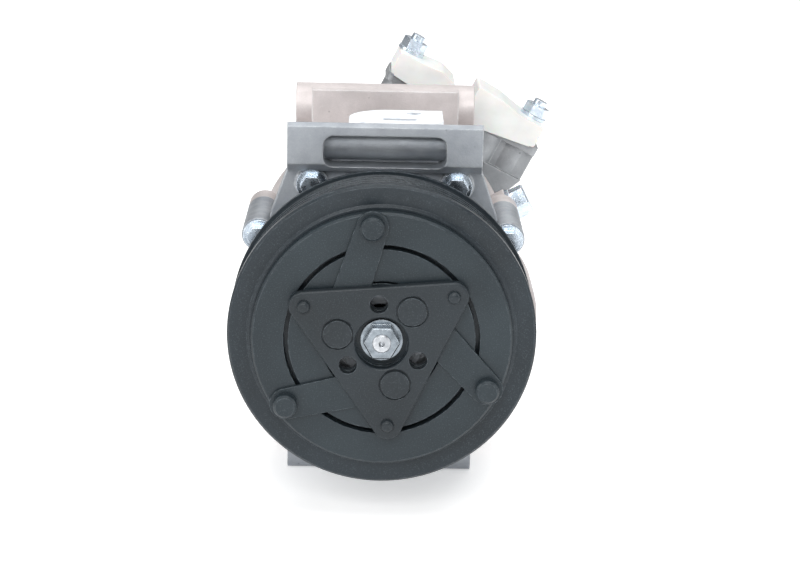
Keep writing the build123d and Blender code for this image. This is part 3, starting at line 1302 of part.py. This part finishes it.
with BuildPart() as drive_shaft:
    with BuildSketch(Plane.XY):
        band(0, THREAD_R, SHAFT_TIP, RECESS_FLOOR)
        band(0, STUB_R, RECESS_FLOOR, SHAFT_SHOULDER)
        band(0, SHAFT_R, SHAFT_SHOULDER, REAR_BEARING_FRONT - 3)
        band(0, SHAFT_REAR_R, REAR_BEARING_FRONT - 3, SHAFT_END)
    revolve(axis=Axis.Y)
    chamfer(drive_shaft.faces().sort_by(Axis.Y)[0].edges(), 0.5)
    chamfer(drive_shaft.faces().sort_by(Axis.Y)[-1].edges(), 0.8)
    # centre drill in the front end
    with BuildSketch(across(SHAFT_TIP + 3)):
        Circle(1.2)
    extrude(amount=4, mode=Mode.SUBTRACT)
save(drive_shaft, "drive_shaft")

with BuildPart() as lug_rotor:
    with BuildSketch(Plane.XY):
        band(SHAFT_R + SEAT, ROTOR_R, ROTOR_FRONT, ROTOR_BACK)
        band(SHAFT_R + SEAT, SHAFT_R + 4, ROTOR_BACK, ROTOR_BACK + 1.5)
    revolve(axis=Axis.Y)
    # two hinge ears with a slot for the pin
    for side in (-1, 1):
        inner_x = side * (ARM_HALF + 0.3)
        with BuildSketch(Plane.YZ.offset(inner_x if side > 0 else inner_x - EAR_PLATE)):
            with Locations(((ROTOR_BACK + HINGE_Y + 5) / 2 - 1, HINGE_Z)):
                RectangleRounded(HINGE_Y + 7 - ROTOR_BACK, 17, 3)
            with Locations(Location((HINGE_Y, HINGE_Z, 0), (0, 0, 1), 60)):
                SlotOverall(2 * HINGE_R + 5, 2 * HINGE_R + 2 * RUN, mode=Mode.SUBTRACT)
        extrude(amount=EAR_PLATE)
    # balance pocket opposite the hinge
    with BuildSketch(across(ROTOR_BACK)):
        with Locations((0, -26)):
            RectangleRounded(26, 9, 3)
    extrude(amount=3, mode=Mode.SUBTRACT)
save(lug_rotor, "lug_rotor")

with BuildPart() as hinge_pin:
    with BuildSketch(Plane.YZ.offset(-ARM_HALF - EAR_PLATE - 1)):
        with Locations((HINGE_Y, HINGE_Z)):
            Circle(HINGE_R)
    extrude(amount=2 * (ARM_HALF + EAR_PLATE + 1))
save(hinge_pin, "hinge_pin")

with BuildPart() as pivot_sleeve:
    with BuildSketch(Plane.XY):
        band(SHAFT_R + RUN, SLEEVE_R, SLEEVE_FRONT, SLEEVE_BACK)
    revolve(axis=Axis.Y)
    with BuildSketch(Plane.YZ.offset(-TRUNNION_TIP)):
        with Locations((WOBBLE_Y, 0)):
            Circle(TRUNNION_R)
    extrude(amount=2 * TRUNNION_TIP)
    with BuildSketch(across(SLEEVE_BACK)):
        Circle(SHAFT_R + RUN)
    extrude(amount=SLEEVE_BACK - SLEEVE_FRONT, mode=Mode.SUBTRACT)
save(pivot_sleeve, "pivot_sleeve")

with BuildPart() as swash_journal:
    with BuildSketch(WOBBLE_PLANE.offset(-JOURNAL_LIP)):
        Circle(PLATE_BORE_R + 1.6)
    extrude(amount=JOURNAL_LIP - PLATE_HALF - 0.1)
    with BuildSketch(WOBBLE_PLANE.offset(-JOURNAL_LIP)):
        Circle(PLATE_BORE_R - RUN)
    extrude(amount=JOURNAL_LIP + JOURNAL_FRONT)
    with BuildSketch(WOBBLE_PLANE.offset(PLATE_HALF + 0.1)):
        Circle(JOURNAL_FLANGE_R)
    extrude(amount=JOURNAL_FRONT - PLATE_HALF - 0.1)
    # arm that reaches forward to the hinge pin
    with BuildSketch(Plane.YZ.offset(-ARM_HALF)):
        with Locations((HINGE_Y, HINGE_Z)):
            Circle(HINGE_R + 3)
        with BuildLine():
            Polyline(
                (HINGE_Y - 1, HINGE_Z + 6 - 0.2),
                (WOBBLE_Y - JOURNAL_FRONT + 4, HINGE_Z - 1),
                (WOBBLE_Y - JOURNAL_FRONT + 3, HINGE_Z - 11),
                (HINGE_Y - 1, HINGE_Z - 6 + 0.2),
                close=True,
            )
        make_face()
    extrude(amount=2 * ARM_HALF)
    with BuildSketch(Plane.YZ.offset(-ARM_HALF)):
        with Locations((HINGE_Y, HINGE_Z)):
            Circle(HINGE_R + SEAT)
    extrude(amount=2 * ARM_HALF, mode=Mode.SUBTRACT)
    # bore that clears the leaning sleeve, and the trunnion holes
    with BuildSketch(WOBBLE_PLANE.offset(-JOURNAL_LIP - 1)):
        Circle(JOURNAL_BORE_R)
    extrude(amount=JOURNAL_LIP + JOURNAL_FRONT + 2, mode=Mode.SUBTRACT)
    with BuildSketch(Plane.YZ.offset(-TRUNNION_TIP - 2)):
        with Locations((WOBBLE_Y, 0)):
            Circle(TRUNNION_R + SEAT)
    extrude(amount=2 * TRUNNION_TIP + 4, mode=Mode.SUBTRACT)
save(swash_journal, "swash_journal")

SPRING_LENGTH = SLEEVE_FRONT - ROTOR_BACK - 1.5 - 2 * SPRING_WIRE_R - 0.4
SPRING_START = ROTOR_BACK + 1.5 + SPRING_WIRE_R + 0.2

with BuildPart() as destroke_spring:
    with BuildLine() as coil_line:
        Helix(
            pitch=SPRING_LENGTH / SPRING_TURNS,
            height=SPRING_LENGTH,
            radius=SPRING_R,
            center=(0, SPRING_START, 0),
            direction=(0, 1, 0),
        )
    with BuildSketch(Plane(origin=coil_line.line @ 0, z_dir=coil_line.line % 0)):
        Circle(SPRING_WIRE_R)
    sweep()
save(destroke_spring, "destroke_spring")

with BuildPart() as thrust_rollers:
    for k in range(16):
        angle = k * 360 / 16
        x, z = polar(THRUST_CIRCLE_R - 3, angle)
        outward = (cos(radians(angle)), 0, sin(radians(angle)))
        start = (x, ROTOR_FRONT - RUN - ROLLER_R, z)
        with BuildSketch(Plane(origin=start, x_dir=(0, 1, 0), z_dir=outward)):
            Circle(ROLLER_R)
        extrude(amount=6)
save(thrust_rollers, "thrust_rollers")

with BuildPart() as shaft_bearings:
    with BuildSketch(Plane.XY):
        band(SHAFT_R + RUN, FRONT_BEARING_R, FRONT_BEARING_FRONT, FRONT_BEARING_BACK)
        band(SHAFT_REAR_R + RUN, REAR_BEARING_R, REAR_BEARING_FRONT, REAR_BEARING_BACK)
        band(
            THRUST_CIRCLE_R - 4.5,
            THRUST_CIRCLE_R + 4.5,
            CAVITY_FRONT,
            ROTOR_FRONT - 2 * RUN - 2 * ROLLER_R,
        )
    revolve(axis=Axis.Y)
save(shaft_bearings, "shaft_bearings")

with BuildPart() as shaft_seal:
    with BuildSketch(Plane.XY):
        band(SHAFT_R + 3, NOSE_BORE_R, SEAL_FRONT, SEAL_BACK)
        band(SHAFT_R + RUN, SHAFT_R + 3, SEAL_FRONT + 4, SEAL_FRONT + 6)
        band(SHAFT_R + RUN, SHAFT_R + 3, SEAL_BACK - 3, SEAL_BACK)
    revolve(axis=Axis.Y)
save(shaft_seal, "shaft_seal")

# ======================= wobble plate, guide, rods and pistons =======================
with BuildPart() as wobble_plate:
    with BuildSketch(WOBBLE_PLANE.offset(-PLATE_HALF)):
        Circle(PLATE_R)
        Circle(PLATE_BORE_R, mode=Mode.SUBTRACT)
    extrude(amount=2 * PLATE_HALF)
    with Locations(WOBBLE_PLANE):
        with Locations(*[(*polar(SOCKET_CIRCLE_R, angle), 0) for angle in CYLINDER_ANGLES]):
            Sphere(ROD_BALL_R + RUN, mode=Mode.SUBTRACT)
    # notch for the guide pin
    with BuildSketch(Plane.XY.offset(-PLATE_R - 1)):
        with Locations((0, WOBBLE_Y - (PLATE_R - 3) * sin(radians(TILT)))):
            Circle(2)
    extrude(amount=9, mode=Mode.SUBTRACT)
save(wobble_plate, "wobble_plate")

PIN_Y = WOBBLE_Y - PIN_BALL_CIRCLE_R * sin(radians(TILT))
PIN_Z = -PIN_BALL_CIRCLE_R * cos(radians(TILT))

with BuildPart() as guide_pin:
    with Locations((0, PIN_Y, PIN_Z)):
        Sphere(PIN_BALL_R)
    with BuildSketch(Plane.XY.offset(-PLATE_R + 0.4)):
        with Locations((0, WOBBLE_Y - (PLATE_R - 3) * sin(radians(TILT)))):
            Circle(2 - SEAT)
    extrude(amount=7)
save(guide_pin, "guide_pin")

with BuildPart() as guide_rail:
    with BuildSketch(Plane.XY.offset(-RAIL_FLOOR)):
        with Locations((0, (RAIL_FRONT + HOUSING_JOINT) / 2)):
            Rectangle(2 * RAIL_HALF - 2 * SEAT, HOUSING_JOINT - RAIL_FRONT - 2 * SEAT)
    extrude(amount=RAIL_FLOOR - 41)
    with BuildSketch(Plane.XY.offset(PIN_Z - PIN_BALL_R - 0.4)):
        with Locations((0, (RAIL_FRONT + HOUSING_JOINT) / 2)):
            Rectangle(2 * PIN_BALL_R + 2 * GUIDE_GAP, HOUSING_JOINT - RAIL_FRONT + 2)
    extrude(amount=10, mode=Mode.SUBTRACT)
save(guide_rail, "guide_rail")

for number, angle in enumerate(CYLINDER_ANGLES, start=1):
    ball = WOBBLE_PLANE.from_local_coords((*polar(SOCKET_CIRCLE_R, angle), 0))
    lift = ball.Y - WOBBLE_Y
    seat_y = PISTON_BALL_Y + lift
    top = PISTON_TOP + lift
    with BuildPart() as rod:
        with BuildSketch(Plane(origin=(ball.X, ball.Y, ball.Z), x_dir=(1, 0, 0), z_dir=(0, 1, 0))):
            Circle(ROD_R)
        extrude(amount=seat_y - ball.Y)
        with Locations((ball.X, ball.Y, ball.Z)):
            Sphere(ROD_BALL_R)
        with Locations((ball.X, seat_y, ball.Z)):
            Sphere(PISTON_BALL_R)
    save(rod, f"rod_{number}")
    with BuildPart() as piston:
        with BuildSketch(Plane(origin=(ball.X, top, ball.Z), x_dir=(1, 0, 0), z_dir=(0, -1, 0))):
            Circle(PISTON_R)
        extrude(amount=PISTON_LENGTH)
        with BuildSketch(Plane(origin=(ball.X, top - CROWN, ball.Z), x_dir=(1, 0, 0), z_dir=(0, -1, 0))):
            Circle(PISTON_R - PISTON_WALL)
            Circle(PISTON_BALL_R + 2.6, mode=Mode.SUBTRACT)
        extrude(amount=PISTON_LENGTH, mode=Mode.SUBTRACT)
        with BuildSketch(Plane(origin=(ball.X, seat_y - 3.4, ball.Z), x_dir=(1, 0, 0), z_dir=(0, -1, 0))):
            Circle(PISTON_R - PISTON_WALL)
        extrude(amount=PISTON_LENGTH, mode=Mode.SUBTRACT)
        with Locations((ball.X, seat_y, ball.Z)):
            Sphere(PISTON_BALL_R + RUN, mode=Mode.SUBTRACT)
        # ring groove round the crown
        with BuildSketch(Plane(origin=(ball.X, top - 3, ball.Z), x_dir=(1, 0, 0), z_dir=(0, -1, 0))):
            Circle(PISTON_R + 1)
            Circle(PISTON_R - 1, mode=Mode.SUBTRACT)
        extrude(amount=1.5, mode=Mode.SUBTRACT)
    save(piston, f"piston_{number}")
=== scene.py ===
import math

import bpy
from mathutils import Matrix, Vector


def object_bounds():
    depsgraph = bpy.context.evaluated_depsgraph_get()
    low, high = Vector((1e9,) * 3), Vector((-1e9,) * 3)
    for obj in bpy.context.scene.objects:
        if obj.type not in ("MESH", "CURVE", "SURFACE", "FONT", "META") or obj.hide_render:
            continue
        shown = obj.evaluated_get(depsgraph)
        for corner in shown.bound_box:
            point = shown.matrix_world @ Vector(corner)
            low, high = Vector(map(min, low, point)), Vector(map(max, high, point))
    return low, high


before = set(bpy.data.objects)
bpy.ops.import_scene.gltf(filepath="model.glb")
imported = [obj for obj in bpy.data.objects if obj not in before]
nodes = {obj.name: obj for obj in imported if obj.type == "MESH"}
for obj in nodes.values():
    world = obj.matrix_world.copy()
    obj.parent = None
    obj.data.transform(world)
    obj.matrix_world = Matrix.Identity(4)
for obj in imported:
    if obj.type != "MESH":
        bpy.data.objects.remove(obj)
cad_low, cad_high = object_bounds()

MM = 0.001


# ======================= material kit =======================
def linear(code):
    """Scene-linear colour of a #rrggbb code."""
    out = []
    for k in (0, 2, 4):
        c = int(code[k : k + 2], 16) / 255
        out.append(c / 12.92 if c <= 0.04045 else ((c + 0.055) / 1.055) ** 2.4)
    return (*out, 1.0)


class Finish:
    """A node material with helpers for grain, mottling, wear and bump."""

    def __init__(self, name):
        self.mat = bpy.data.materials.new(name)
        self.mat.use_nodes = True
        self.tree = self.mat.node_tree
        self.bsdf = self.tree.nodes["Principled BSDF"]
        self.place = self.add("ShaderNodeTexCoord").outputs["Object"]

    def add(self, kind, **settings):
        node = self.tree.nodes.new(kind)
        for key, value in settings.items():
            setattr(node, key, value)
        return node

    def link(self, source, target):
        self.tree.links.new(source, target)

    def noise(self, size, detail=3.0, rough=0.55, stretch=None):
        """Noise whose lumps are about size millimetres across."""
        node = self.add("ShaderNodeTexNoise")
        node.inputs["Scale"].default_value = 1.0 / (size * MM)
        node.inputs["Detail"].default_value = detail
        node.inputs["Roughness"].default_value = rough
        source = self.place
        if stretch:
            mapping = self.add("ShaderNodeMapping")
            mapping.inputs["Scale"].default_value = stretch
            self.link(self.place, mapping.inputs["Vector"])
            source = mapping.outputs["Vector"]
        self.link(source, node.inputs["Vector"])
        return node.outputs["Fac"]

    def cells(self, size):
        """Cell pattern whose cells are about size millimetres across."""
        node = self.add("ShaderNodeTexVoronoi")
        node.inputs["Scale"].default_value = 1.0 / (size * MM)
        self.link(self.place, node.inputs["Vector"])
        return node.outputs["Distance"]

    def span(self, source, low, high, to_low=0.0, to_high=1.0):
        node = self.add("ShaderNodeMapRange")
        node.inputs["From Min"].default_value = low
        node.inputs["From Max"].default_value = high
        node.inputs["To Min"].default_value = to_low
        node.inputs["To Max"].default_value = to_high
        self.link(source, node.inputs["Value"])
        return node.outputs["Result"]

    def math(self, operation, a, b):
        node = self.add("ShaderNodeMath", operation=operation)
        for socket, value in zip(node.inputs, (a, b)):
            if isinstance(value, (int, float)):
                socket.default_value = value
            else:
                self.link(value, socket)
        return node.outputs["Value"]

    def blend(self, factor, a, b):
        """Colour mix from a to b."""
        node = self.add("ShaderNodeMix", data_type="RGBA")
        self.link(factor, node.inputs["Factor"])
        for socket, value in zip((node.inputs[6], node.inputs[7]), (a, b)):
            if isinstance(value, tuple):
                socket.default_value = value
            else:
                self.link(value, socket)
        return node.outputs[2]

    def rounded(self, radius):
        """Normal with edges rounded to a radius in millimetres, and a mask of those edges."""
        bevel = self.add("ShaderNodeBevel", samples=6)
        bevel.inputs["Radius"].default_value = radius * MM
        flat = self.add("ShaderNodeNewGeometry").outputs["Normal"]
        dot = self.add("ShaderNodeVectorMath", operation="DOT_PRODUCT")
        self.link(bevel.outputs["Normal"], dot.inputs[0])
        self.link(flat, dot.inputs[1])
        mask = self.span(dot.outputs["Value"], 0.995, 0.86)
        return bevel.outputs["Normal"], mask

    def bump(self, height, depth, normal=None, strength=1.0):
        node = self.add("ShaderNodeBump")
        node.inputs["Strength"].default_value = strength
        node.inputs["Distance"].default_value = depth * MM
        self.link(height, node.inputs["Height"])
        if normal:
            self.link(normal, node.inputs["Normal"])
        return node.outputs["Normal"]

    def finish(self, colour, roughness, normal, metallic, **plain):
        self.link(colour, self.bsdf.inputs["Base Color"])
        self.link(roughness, self.bsdf.inputs["Roughness"])
        self.link(normal, self.bsdf.inputs["Normal"])
        self.bsdf.inputs["Metallic"].default_value = metallic
        for key, value in plain.items():
            self.bsdf.inputs[key.replace("_", " ")].default_value = value
        return self.mat


def cast_metal(
    name, light, dark, grain=0.7, depth=0.11, rough=(0.42, 0.62), metallic=0.72, edge=0.9
):
    """Sand-cast metal: mottled skin, fine grain, small pits and edges rubbed bright."""
    f = Finish(name)
    normal, edges = f.rounded(edge)
    patches = f.span(f.noise(22, 5, 0.6), 0.32, 0.68)
    colour = f.blend(patches, linear(dark), linear(light))
    speck = f.span(f.noise(grain * 0.7, 2), 0.35, 0.7)
    colour = f.blend(f.math("MULTIPLY", speck, 0.28), colour, linear(dark))
    pits = f.span(f.cells(grain * 5), 0.0, 0.16, 1.0, 0.0)
    pits = f.math("MULTIPLY", pits, f.span(f.noise(9, 2), 0.52, 0.62))
    colour = f.blend(f.math("MULTIPLY", pits, 0.55), colour, linear("3c3d3e"))
    scuff = f.math("MULTIPLY", edges, f.span(f.noise(3.0, 4), 0.36, 0.6))
    colour = f.blend(f.math("MULTIPLY", scuff, 0.55), colour, linear("dfe2e4"))
    roughness = f.span(f.noise(6, 4), 0.3, 0.7, rough[0], rough[1])
    normal = f.bump(f.noise(9, 3), depth * 3.2, normal, 0.55)
    normal = f.bump(f.noise(grain, 3, 0.65), depth, normal, 0.75)
    normal = f.bump(pits, -depth * 1.6, normal, 0.7)
    return f.finish(colour, roughness, normal, metallic, Specular_IOR_Level=0.45)


def coated_metal(
    name, body, worn, rough=(0.36, 0.5), metallic=0.25, edge=0.5, sheen_bump=0.03
):
    """Dark satin coating: soft orange peel, faint rub marks, edges a little brighter."""
    f = Finish(name)
    normal, edges = f.rounded(edge)
    cloud = f.span(f.noise(30, 4, 0.5), 0.3, 0.7)
    colour = f.blend(cloud, linear(body), linear(worn))
    dust = f.span(f.noise(0.5, 2), 0.55, 0.8)
    colour = f.blend(f.math("MULTIPLY", dust, 0.12), colour, linear("8b979d"))
    rub = f.math("MULTIPLY", edges, f.span(f.noise(2.2, 4), 0.42, 0.62))
    colour = f.blend(f.math("MULTIPLY", rub, 0.4), colour, linear("87929a"))
    roughness = f.span(f.noise(7, 5, 0.6), 0.3, 0.7, rough[0], rough[1])
    normal = f.bump(f.noise(1.6, 3), sheen_bump * 2.5, normal, 0.5)
    normal = f.bump(f.noise(0.35, 2), sheen_bump, normal, 0.5)
    return f.finish(colour, roughness, normal, metallic, Specular_IOR_Level=0.34)


def bright_metal(
    name, light, dark, rough=(0.2, 0.36), metallic=1.0, edge=0.35, lay=None, grain=0.5
):
    """Plated or machined metal: streaks along the lay, faint stains, crisp edges painted lighter
    as a highlight.
    """
    f = Finish(name)
    normal, edges = f.rounded(edge)
    stain = f.span(f.noise(5, 5, 0.65), 0.34, 0.7)
    colour = f.blend(stain, linear(light), linear(dark))
    # painted highlight: every rounded edge is lightened evenly towards near white
    colour = f.blend(f.math("MULTIPLY", edges, 0.35), colour, linear("f2f5f8"))
    streaks = f.noise(grain, 3, 0.6, lay)
    roughness = f.span(f.noise(2.5, 4), 0.3, 0.7, rough[0], rough[1])
    normal = f.bump(streaks, 0.03, normal, 0.5)
    normal = f.bump(f.noise(0.9, 2), 0.025, normal, 0.35)
    return f.finish(colour, roughness, normal, metallic)


def moulding(name, light, dark, rough=(0.35, 0.5), depth=0.03, edge=0.5, **plain):
    """Moulded polymer: faint flow marks, a fine skin and edges painted lighter as a highlight.
    """
    f = Finish(name)
    normal, edges = f.rounded(edge)
    flow = f.span(f.noise(14, 4, 0.5, (1.0, 0.4, 1.6)), 0.3, 0.7)
    colour = f.blend(flow, linear(light), linear(dark))
    # painted highlight: rounded edges are lightened evenly towards the light tone
    colour = f.blend(f.math("MULTIPLY", edges, 0.25), colour, linear(light))
    roughness = f.span(f.noise(4, 3), 0.3, 0.7, rough[0], rough[1])
    normal = f.bump(f.noise(2.4, 3), depth * 2, normal, 0.4)
    normal = f.bump(f.noise(0.4, 2), depth, normal, 0.5)
    return f.finish(colour, roughness, normal, 0.0, **plain)


CAST = cast_metal("cast_aluminium", "a5a9ae", "858a90")
WARM_CAST = cast_metal("warm_cast_aluminium", "cfc8c7", "b3adac", rough=(0.48, 0.66))
DARK_CAST = cast_metal("dark_cast_aluminium", "a4a7aa", "85888b", grain=0.8, depth=0.13)
PULLEY_PAINT = coated_metal("pulley_paint", "1b2227", "242c32", rough=(0.28, 0.4), metallic=0.12)
CLUTCH_STEEL = coated_metal("clutch_steel", "1c2429", "262f34", rough=(0.3, 0.44), metallic=0.12)
ZINC = bright_metal("zinc_steel", "d8e2ec", "a9b6c3", rough=(0.16, 0.34))
BEARING_STEEL = bright_metal("bearing_steel", "c9cccf", "a6a9ad", rough=(0.1, 0.22))
MACHINED = bright_metal(
    "machined_steel", "b9bcc0", "8d9196", lay=(1.0, 12.0, 1.0), rough=(0.22, 0.4)
)
CAST_IRON = cast_metal("cast_iron", "55534f", "403e3b", metallic=0.6)
PISTON = bright_metal(
    "piston_aluminium", "dcdcd9", "b9b9b6", lay=(1.0, 14.0, 1.0), rough=(0.26, 0.42)
)
COIL_RESIN = moulding("coil_resin", "1d2b26", "141f1b", rough=(0.4, 0.6))
WHITE = moulding(
    "white_plastic",
    "dfe0de",
    "d0d2d0",
    rough=(0.3, 0.46),
    Subsurface_Weight=0.35,
    Subsurface_Scale=0.004,
)
RUBBER = moulding("black_rubber", "1b1c1d", "121314", rough=(0.6, 0.8))
GASKET = moulding("gasket", "303133", "242527", rough=(0.55, 0.75))
BRASS = bright_metal("brass", "c79f58", "a07c3c", rough=(0.22, 0.4))
DARK_HUB = coated_metal("hub_steel", "1a2024", "22292e", rough=(0.28, 0.42), metallic=0.12)

BY_SLOT = {
    "cast_aluminium": CAST,
    "dark_cast_aluminium": DARK_CAST,
    "pulley_paint": PULLEY_PAINT,
    "clutch_steel": CLUTCH_STEEL,
    "zinc_steel": ZINC,
    "bearing_steel": BEARING_STEEL,
    "machined_steel": MACHINED,
    "cast_iron": CAST_IRON,
    "piston_aluminium": PISTON,
    "coil_resin": COIL_RESIN,
    "white_plastic": WHITE,
    "black_rubber": RUBBER,
    "gasket": GASKET,
    "brass": BRASS,
}
SHEET_ZINC = bright_metal("sheet_zinc", "f6f9fc", "d9e0e7", rough=(0.3, 0.45), metallic=0.7)
NUT_STEEL = bright_metal("nut_steel", "8f979e", "5f666c", rough=(0.14, 0.3))
BY_NODE = {
    "hub_plate": DARK_HUB,
    "hub_rivets": DARK_HUB,
    "shaft_nut": NUT_STEEL,
    "cylinder_block": WARM_CAST,
    "connector_bracket": SHEET_ZINC,
}


def slot_names(obj):
    """Names of the material slots that came with a CAD node."""
    return [s.material.name.split(".")[0] if s.material else "" for s in obj.material_slots]


for name, obj in nodes.items():
    found = slot_names(obj)
    for index, slot in enumerate(obj.material_slots):
        slot.material = BY_NODE.get(name) or BY_SLOT.get(found[index], CAST)
    if not obj.material_slots:
        obj.data.materials.append(BY_NODE.get(name, CAST))


# ======================= camera =======================
DISTANCE = 0.790
ELEVATION = math.radians(15.64)
YAW = math.radians(-0.71)
ROLL = math.radians(1.29)
TARGET = Vector((0.0066, 0.0, 0.0226))
FOCAL_PIXELS = 2057.0
IMAGE_WIDTH = 800.0
SENSOR = 36.0
CLIP_NEAR = 0.01
CLIP_FAR = 50.0

back = Vector(
    (
        math.sin(YAW) * math.cos(ELEVATION),
        -math.cos(YAW) * math.cos(ELEVATION),
        math.sin(ELEVATION),
    )
)
forward = -back
right = forward.cross(Vector((0, 0, 1))).normalized()
upward = right.cross(forward).normalized()
axis_x = right * math.cos(ROLL) + upward * math.sin(ROLL)
axis_y = -right * math.sin(ROLL) + upward * math.cos(ROLL)
camera_data = bpy.data.cameras.new("camera")
camera_data.sensor_width = SENSOR
camera_data.lens = FOCAL_PIXELS / IMAGE_WIDTH * SENSOR
camera_data.clip_start = CLIP_NEAR
camera_data.clip_end = CLIP_FAR
camera = bpy.data.objects.new("camera", camera_data)
bpy.context.scene.collection.objects.link(camera)
rotation = Matrix((axis_x, axis_y, back)).transposed().to_4x4()
camera.matrix_world = Matrix.Translation(TARGET + back * DISTANCE) @ rotation
bpy.context.scene.camera = camera
bpy.context.scene.view_settings.view_transform = "Standard"


# ======================= floor and light =======================
FLOOR_GLOW = 0.3
FLOOR_REACH = 9.0  # half width of the floor, metres
WORLD_STRENGTH = 0.42


def pale(name, code):
    f = Finish(name)
    tone = f.span(f.noise(180, 2), 0.3, 0.7)
    colour = f.blend(tone, linear(code), linear("ffffff"))
    roughness = f.span(f.noise(60, 2), 0.3, 0.7, 0.85, 0.95)
    f.bsdf.inputs["Emission Color"].default_value = (1.0, 1.0, 1.0, 1.0)
    f.bsdf.inputs["Emission Strength"].default_value = FLOOR_GLOW
    return f.finish(colour, roughness, f.bump(f.noise(3, 2), 0.01), 0.0, Specular_IOR_Level=0.1)


floor_mesh = bpy.data.meshes.new("floor")
corners = ((-1, -1), (1, -1), (1, 1), (-1, 1))
floor_mesh.from_pydata(
    [(x * FLOOR_REACH, y * FLOOR_REACH, cad_low.z) for x, y in corners],
    [],
    [(0, 1, 2, 3)],
)
floor_mesh.materials.append(pale("pale_floor", "fbfbfb"))
floor = bpy.data.objects.new("floor", floor_mesh)
bpy.context.scene.collection.objects.link(floor)

world = bpy.data.worlds.new("studio")
bpy.context.scene.world = world
world.use_nodes = True
world.node_tree.nodes["Background"].inputs["Color"].default_value = (1.0, 1.0, 1.0, 1.0)
world.node_tree.nodes["Background"].inputs["Strength"].default_value = WORLD_STRENGTH


def softbox(name, place, aim, width, height, watts):
    data = bpy.data.lights.new(name, "AREA")
    data.shape = "RECTANGLE"
    data.size = width
    data.size_y = height
    data.energy = watts
    lamp = bpy.data.objects.new(name, data)
    bpy.context.scene.collection.objects.link(lamp)
    lamp.location = place
    lamp.rotation_mode = "QUATERNION"
    lamp.rotation_quaternion = (Vector(aim) - Vector(place)).to_track_quat("-Z", "Y")


softbox("top_box", (0.1, 0.0, 1.2), (0, 0.05, 0), 1.3, 1.3, 12)
softbox("front_box", (-0.25, -1.5, 0.95), (0, 0.05, 0.02), 1.3, 0.8, 19)
softbox("left_box", (-1.3, -0.5, 0.6), (0, 0, 0.02), 0.8, 1.2, 7)
softbox("right_box", (1.3, -0.4, 0.5), (0, 0.05, 0.02), 0.6, 1.1, 5)
softbox("back_box", (0.2, 1.4, 0.9), (0, 0.1, 0.02), 1.2, 0.9, 5)
